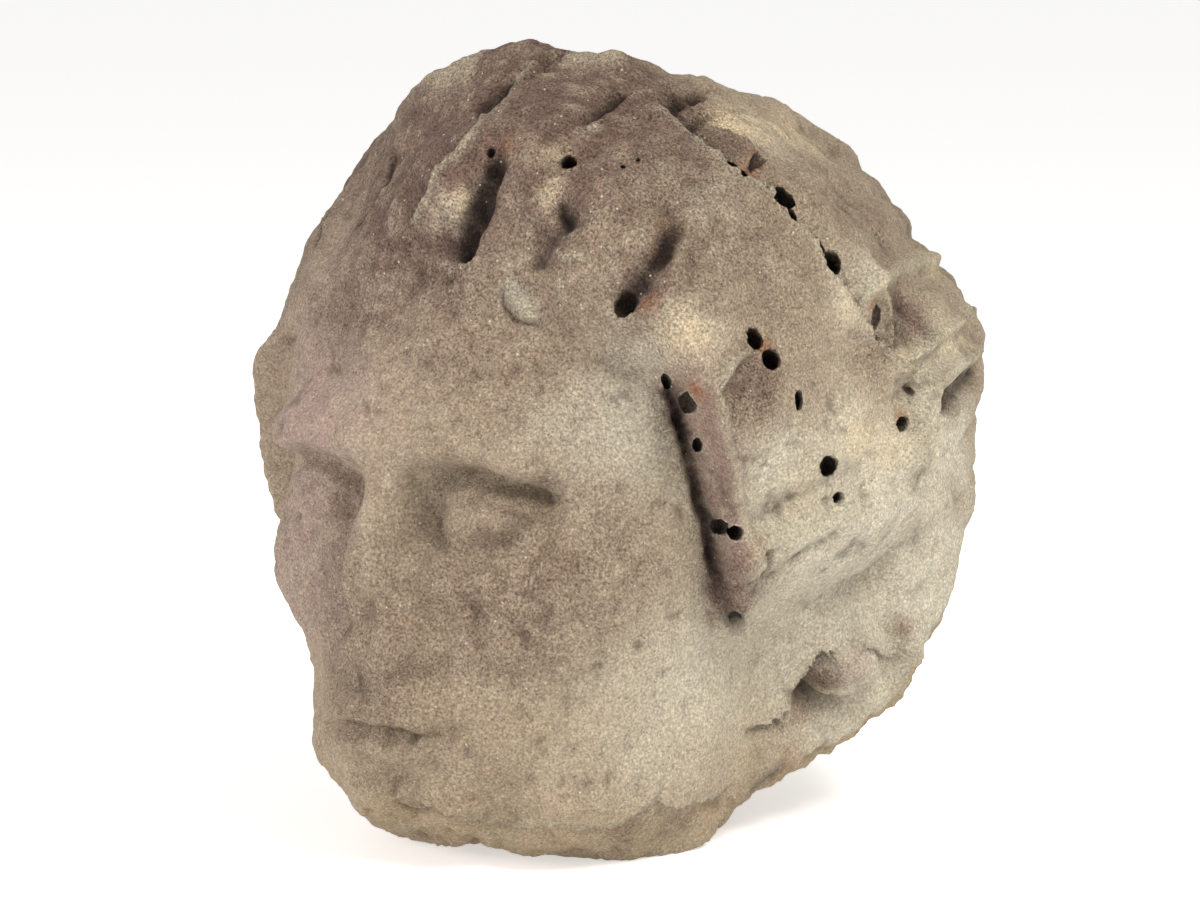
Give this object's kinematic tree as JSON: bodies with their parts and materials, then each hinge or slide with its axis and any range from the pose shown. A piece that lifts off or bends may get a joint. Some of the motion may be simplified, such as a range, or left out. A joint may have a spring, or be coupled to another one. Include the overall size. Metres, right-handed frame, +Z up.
{
  "type": "female head sculpture",
  "caption": "Weathered marble head of a woman with drilled, swept-back hair, broken off at the neck and standing on the break.",
  "frame": {"origin": "under the middle of the head, on the flat foot that it rests on", "axes": "+Z up, -Y the way the face looks, +X the head's own left"},
  "size_m": [0.2204, 0.2482, 0.25],
  "materials": {
    "marble": "matte"
  },
  "bodies": {
    "root": {"marble_head": "marble"}
  },
  "joints": []
}
